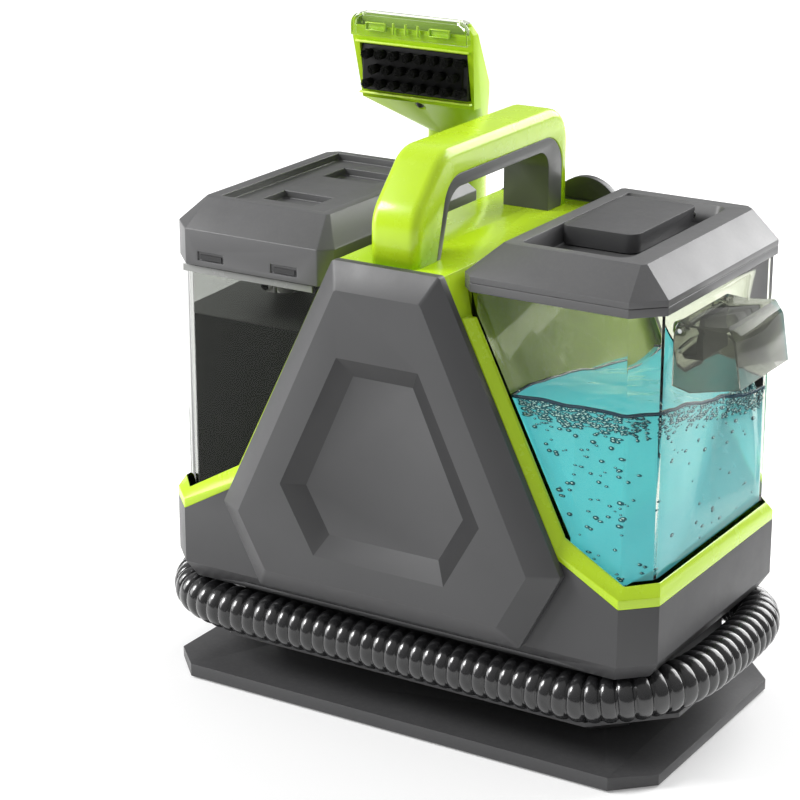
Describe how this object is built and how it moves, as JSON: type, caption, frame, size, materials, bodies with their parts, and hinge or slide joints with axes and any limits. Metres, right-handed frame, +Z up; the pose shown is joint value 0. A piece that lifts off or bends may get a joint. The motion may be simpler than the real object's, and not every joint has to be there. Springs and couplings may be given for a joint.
{
  "type": "portable spot extractor",
  "caption": "Portable spot extractor with lift-off clean and dirty water tanks, a carrying handle, a wrapped suction hose and an upright brush hand tool.",
  "frame": {"origin": "centre of the base plate's footprint, on the floor it stands on", "axes": "+X towards the clean tank, -Y towards the front cover, +Z up"},
  "size_m": [0.4675, 0.3063, 0.473],
  "materials": {
    "grey_plastic": "satin moulded",
    "lime_plastic": "gloss moulded",
    "black_plastic": "fine grain",
    "black_rubber": "soft",
    "steel": "plain",
    "clear_plastic": "polished clear plastic",
    "smoky_plastic": "polished smoky plastic",
    "clean_water": "clear blue liquid",
    "dirty_water": "dark liquid",
    "white_plastic": "plain",
    "green_board": "circuit board"
  },
  "bodies": {
    "machine": {"base_plate": "grey_plastic", "rubber_feet": "black_rubber", "base_screws": "steel", "pedestal": "grey_plastic", "hose_core": "grey_plastic", "body_tub": "grey_plastic", "tower_shell": "lime_plastic", "trim_left": "lime_plastic", "trim_right": "lime_plastic", "front_cover": "grey_plastic", "rear_cover": "grey_plastic", "cover_screws": "steel", "handle": "lime_plastic", "handle_grip": "black_plastic", "handle_screws": "steel", "vacuum_motor": "steel", "motor_mount": "steel", "fan_housing": "black_plastic", "suction_pipe": "black_plastic", "pump": "black_plastic", "water_pipe": "clear_plastic", "clean_dock": "black_plastic", "dirty_dock": "black_rubber", "control_board": "green_board", "exhaust_grille": "black_plastic", "power_inlet": "black_plastic", "cord_hook": "grey_plastic", "wand_holder": "grey_plastic", "hose_port": "black_plastic", "machine_cuff": "black_plastic", "hose": "black_rubber", "wand_cuff": "black_plastic", "wand_body": "lime_plastic", "trigger_pin": "steel"},
    "fan": {"impeller": "steel"},
    "button": {"power_button": "black_plastic"},
    "trigger": {"wand_trigger": "black_plastic"},
    "tool_head": {"head_shell": "lime_plastic", "nozzle_cover": "clear_plastic", "brush_block": "black_plastic", "bristles": "black_plastic", "spray_tip": "black_plastic"},
    "clean": {"clean_tank": "clear_plastic", "clean_collar": "grey_plastic", "clean_water": "clean_water", "clean_lid": "grey_plastic", "cap_pin": "steel", "latch_pin": "steel"},
    "filler_cap": {"clean_cap": "grey_plastic"},
    "latch": {"tank_latch": "smoky_plastic", "latch_hook": "black_plastic"},
    "valve": {"valve_plunger": "black_rubber"},
    "dirty": {"dirty_tank": "smoky_plastic", "dirty_water": "dirty_water", "standpipe": "clear_plastic", "float_cage": "white_plastic"},
    "dirty_cover": {"dirty_lid": "grey_plastic", "dirty_clips": "black_plastic", "dirty_seal": "black_rubber"},
    "float": {"float_ball": "white_plastic"}
  },
  "joints": [
    {"name": "clean_tank_lift", "type": "slide", "parent": "machine", "child": "clean", "axis": [0, 0, 1], "range_m": [0, 0.16]},
    {"name": "dirty_tank_lift", "type": "slide", "parent": "machine", "child": "dirty", "axis": [0, 0, 1], "range_m": [0, 0.04]},
    {"name": "dirty_lid_lift", "type": "slide", "parent": "dirty", "child": "dirty_cover", "axis": [0, 0, 1], "range_m": [0, 0.04]},
    {"name": "filler_cap_hinge", "type": "hinge", "parent": "clean", "child": "filler_cap", "pos_m": [0.109, 0.0702, 0.3565], "axis": [-1, 0, 0], "range_deg": [0, 80]},
    {"name": "latch_hinge", "type": "hinge", "parent": "clean", "child": "latch", "pos_m": [0.1975, -0.04, 0.322], "axis": [0, -1, 0], "range_deg": [0, 25]},
    {"name": "valve_slide", "type": "slide", "parent": "clean", "child": "valve", "axis": [0, 0, 1], "range_m": [0, 0.003], "stiffness_N_per_m": 200, "springref_m": -0.004},
    {"name": "float_slide", "type": "slide", "parent": "dirty", "child": "float", "axis": [0, 0, 1], "range_m": [0, 0.044]},
    {"name": "fan_spin", "type": "hinge", "parent": "machine", "child": "fan", "pos_m": [0, 0, 0.24], "axis": [0, 0, 1], "continuous": true},
    {"name": "power_press", "type": "slide", "parent": "machine", "child": "button", "axis": [0, -1, 0], "range_m": [0, 0.003], "stiffness_N_per_m": 300, "springref_m": -0.002},
    {"name": "trigger_squeeze", "type": "hinge", "parent": "machine", "child": "trigger", "pos_m": [-0.101, 0.167, 0.246], "axis": [-1, 0, 0], "range_deg": [0, 4], "stiffness_Nm_per_rad": 0.4, "springref_deg": -4.58},
    {"name": "head_pull_off", "type": "slide", "parent": "machine", "child": "tool_head", "axis": [0, 0, 1], "range_m": [0, 0.04]}
  ]
}
